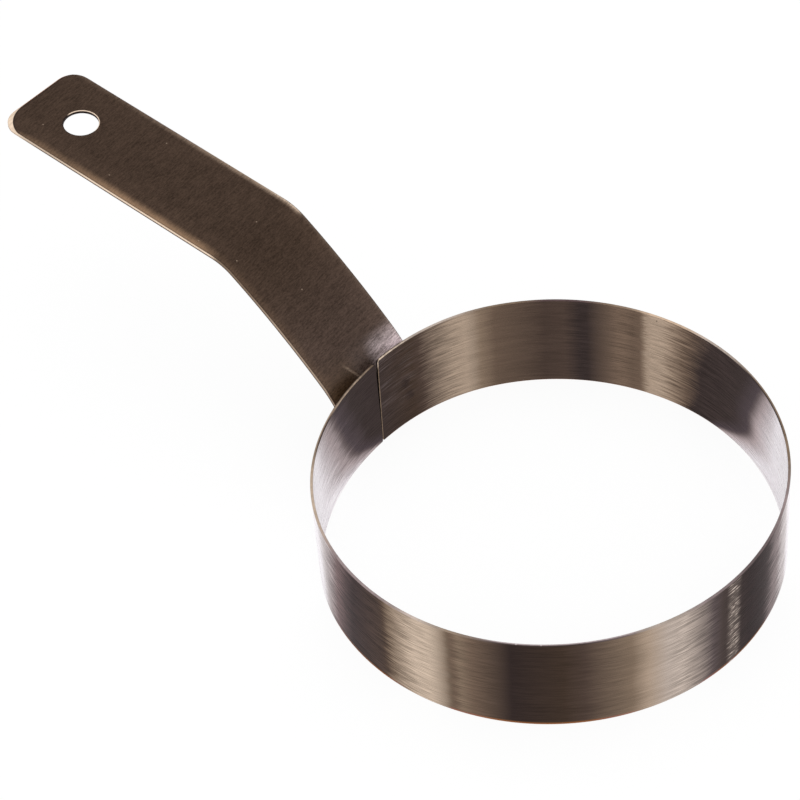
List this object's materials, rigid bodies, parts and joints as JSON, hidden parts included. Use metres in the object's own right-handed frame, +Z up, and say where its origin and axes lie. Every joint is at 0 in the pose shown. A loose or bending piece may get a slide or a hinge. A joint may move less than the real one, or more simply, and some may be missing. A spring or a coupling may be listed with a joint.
{
  "type": "egg ring",
  "caption": "Round steel egg ring with an open band seam and a cranked strip handle spot welded over it, with rounded corners and a hanging hole.",
  "frame": {"origin": "middle of the footprint of the whole part, at the height of the ring's lower rim", "axes": "+X from the ring towards the handle's end, +Z up along the ring's axis"},
  "size_m": [0.2024, 0.1028, 0.0537],
  "materials": {
    "ring_band": "brushed along the band",
    "handle": "brushed across the strip",
    "weld_nugget": "as welded"
  },
  "bodies": {
    "root": {"ring_band": "ring_band", "handle": "handle", "weld_nugget_1": "weld_nugget", "weld_nugget_2": "weld_nugget", "weld_nugget_3": "weld_nugget", "weld_nugget_4": "weld_nugget"}
  },
  "joints": []
}
